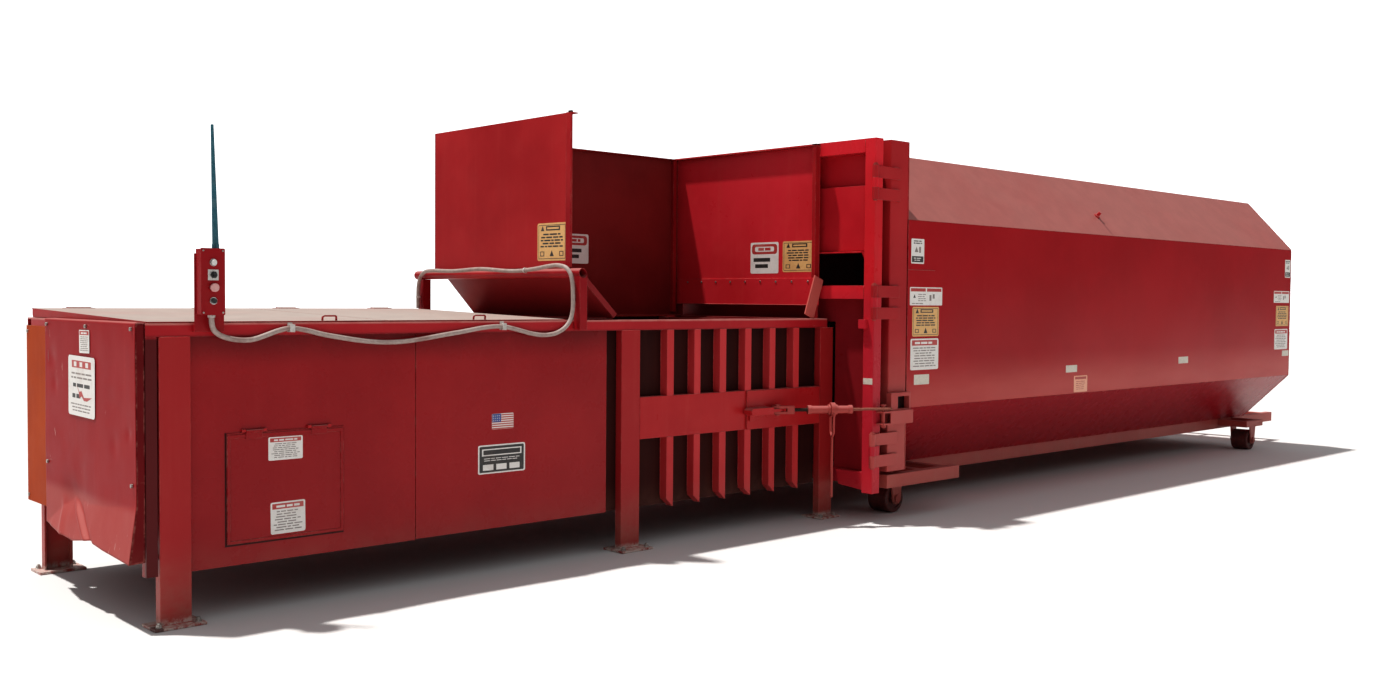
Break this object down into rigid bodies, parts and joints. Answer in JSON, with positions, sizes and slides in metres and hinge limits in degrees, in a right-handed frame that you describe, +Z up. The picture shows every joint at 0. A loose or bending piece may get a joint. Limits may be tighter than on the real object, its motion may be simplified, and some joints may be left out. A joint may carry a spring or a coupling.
{
  "type": "trash compactor",
  "caption": "Stationary waste compactor with open-sided hopper, hydraulic ram and deck lids, docked to a wheeled roll-off receiver container by ratchet binders.",
  "frame": {"origin": "bottom centre of the bounding box, on the ground", "axes": "+X along the machine from the power unit towards the container, +Z up, -Y is the operator side"},
  "size_m": [12.08, 2.624, 2.54],
  "materials": {
    "red_paint": "weathered gloss enamel",
    "orange_paint": "faded primer",
    "conduit_grey": "dusty jacket",
    "bright_metal": "brushed",
    "rubber_black": "dusty",
    "mast_teal": "faded",
    "black_plastic": "worn",
    "stop_red": "sun bleached",
    "chrome_rod": "polished, oiled",
    "hydraulic_black": "oily",
    "motor_grey": "satin",
    "zinc_bolts": "dull zinc",
    "wear_steel": "scuffed bare steel",
    "roller_steel": "worn to steel on the tread"
  },
  "bodies": {
    "root": {"binder_lugs": "red_paint", "chamber_walls": "red_paint", "conduit": "conduit_grey", "conduit_fittings": "bright_metal", "control_box": "red_paint", "control_box_cover": "red_paint", "cylinder_barrel": "hydraulic_black", "deck_rim": "red_paint", "fasteners": "zinc_bolts", "floor": "wear_steel", "hopper_base": "red_paint", "hopper_far_wall": "red_paint", "hopper_front_wall": "red_paint", "hopper_rear_wall": "red_paint", "hopper_trim": "red_paint", "hopper_tube_frame": "red_paint", "hydraulic_lines": "bright_metal", "hydraulic_tank": "hydraulic_black", "legs": "red_paint", "lid_hinge_pins": "red_paint", "operator_sleeves": "bright_metal", "power_unit": "motor_grey", "rear_cover": "red_paint", "rear_side_door": "orange_paint", "side_bands": "red_paint", "side_panels": "red_paint", "signal_mast": "mast_teal", "wall_ribs": "red_paint"},
    "ram": {"ram_shell": "red_paint", "ram_wear_shoes": "wear_steel", "cylinder_rod": "chrome_rod"},
    "deck_lid_rear": {"deck_lid_rear": "red_paint"},
    "deck_lid_front": {"deck_lid_front": "red_paint"},
    "access_hatch": {"access_hatch": "red_paint"},
    "start_button": {"start_button": "bright_metal"},
    "selector_knob": {"selector_knob": "black_plastic"},
    "stop_mushroom": {"stop_mushroom": "stop_red"},
    "reverse_button": {"reverse_button": "black_plastic"},
    "binder_near": {"binder_near": "red_paint"},
    "binder_far": {"binder_far": "red_paint"},
    "handle_near": {"ratchet_handle_near": "red_paint"},
    "handle_far": {"ratchet_handle_far": "red_paint"},
    "container": {"container_sides": "red_paint", "container_slopes": "red_paint", "container_nose_wall": "red_paint", "container_end_frame": "red_paint", "container_underframe": "red_paint", "roller_carriers": "red_paint", "container_pins": "wear_steel", "container_brackets": "red_paint", "door_seal": "rubber_black"},
    "container_door": {"door_frame": "red_paint", "door_sheets": "red_paint", "door_fittings": "red_paint"},
    "roller_rear_near": {"roller_rear_near": "roller_steel"},
    "roller_rear_far": {"roller_rear_far": "roller_steel"},
    "roller_front_near": {"roller_front_near": "roller_steel"},
    "roller_front_far": {"roller_front_far": "roller_steel"}
  },
  "joints": [
    {"name": "ram_slide", "type": "slide", "parent": "root", "child": "ram", "axis": [1, 0, 0], "range_m": [0, 2]},
    {"name": "lid_rear_hinge", "type": "hinge", "parent": "root", "child": "deck_lid_rear", "pos_m": [-5.36, 0.806, 1.392], "axis": [-1, 0, 0], "range_deg": [0, 80]},
    {"name": "lid_front_hinge", "type": "hinge", "parent": "root", "child": "deck_lid_front", "pos_m": [-4.195, 0.806, 1.392], "axis": [-1, 0, 0], "range_deg": [0, 80]},
    {"name": "hatch_hinge", "type": "hinge", "parent": "root", "child": "access_hatch", "pos_m": [-5.2975, -0.797, 0.849], "axis": [-1, 0, 0], "range_deg": [0, 100]},
    {"name": "start_push", "type": "slide", "parent": "root", "child": "start_button", "axis": [0, 1, 0], "range_m": [0, 0.004], "stiffness_N_per_m": 300, "springref_m": -0.004},
    {"name": "selector_turn", "type": "hinge", "parent": "root", "child": "selector_knob", "pos_m": [-5.698, -0.909, 1.565], "axis": [0, -1, 0], "range_deg": [-45, 45]},
    {"name": "stop_push", "type": "slide", "parent": "root", "child": "stop_mushroom", "axis": [0, 1, 0], "range_m": [0, 0.006], "stiffness_N_per_m": 300, "springref_m": -0.004},
    {"name": "reverse_push", "type": "slide", "parent": "root", "child": "reverse_button", "axis": [0, 1, 0], "range_m": [0, 0.004], "stiffness_N_per_m": 300, "springref_m": -0.004},
    {"name": "container_roll", "type": "slide", "parent": "root", "child": "container", "axis": [1, 0, 0], "range_m": [0, 1.6]},
    {"name": "binder_near_swing", "type": "hinge", "parent": "root", "child": "binder_near", "pos_m": [-1.975, -0.87, 0.762], "axis": [0, 0, -1], "range_deg": [0, 92]},
    {"name": "binder_far_swing", "type": "hinge", "parent": "root", "child": "binder_far", "pos_m": [-1.975, 0.87, 0.762], "axis": [0, 0, 1], "range_deg": [0, 92]},
    {"name": "ratchet_near_swing", "type": "hinge", "parent": "binder_near", "child": "handle_near", "pos_m": [-1.66609, -1.07182, 0.762], "axis": [-0.8372, 0.5469, 0], "range_deg": [-15, 150]},
    {"name": "ratchet_far_swing", "type": "hinge", "parent": "binder_far", "child": "handle_far", "pos_m": [-1.66609, 1.07182, 0.762], "axis": [0.8372, 0.5469, 0], "range_deg": [-15, 150]},
    {"name": "door_hinge", "type": "hinge", "parent": "container", "child": "container_door", "pos_m": [-1.463, -1.243, 1.37], "axis": [0, 0, 1], "range_deg": [0, 0.5]},
    {"name": "roller_rear_near_spin", "type": "hinge", "parent": "container", "child": "roller_rear_near", "pos_m": [-0.93, -0.94, 0.1], "axis": [0, 1, 0], "continuous": true},
    {"name": "roller_rear_far_spin", "type": "hinge", "parent": "container", "child": "roller_rear_far", "pos_m": [-0.93, 0.94, 0.1], "axis": [0, 1, 0], "continuous": true},
    {"name": "roller_front_near_spin", "type": "hinge", "parent": "container", "child": "roller_front_near", "pos_m": [4.91, -0.94, 0.1], "axis": [0, 1, 0], "continuous": true},
    {"name": "roller_front_far_spin", "type": "hinge", "parent": "container", "child": "roller_front_far", "pos_m": [4.91, 0.94, 0.1], "axis": [0, 1, 0], "continuous": true}
  ],
  "couplings": [
    {"joint": "binder_near_swing", "follows": "container_roll", "rad_per_m": 1},
    {"joint": "binder_far_swing", "follows": "container_roll", "rad_per_m": 1},
    {"joint": "roller_rear_near_spin", "follows": "container_roll", "rad_per_m": 10},
    {"joint": "roller_rear_far_spin", "follows": "container_roll", "rad_per_m": 10},
    {"joint": "roller_front_near_spin", "follows": "container_roll", "rad_per_m": 10},
    {"joint": "roller_front_far_spin", "follows": "container_roll", "rad_per_m": 10}
  ]
}
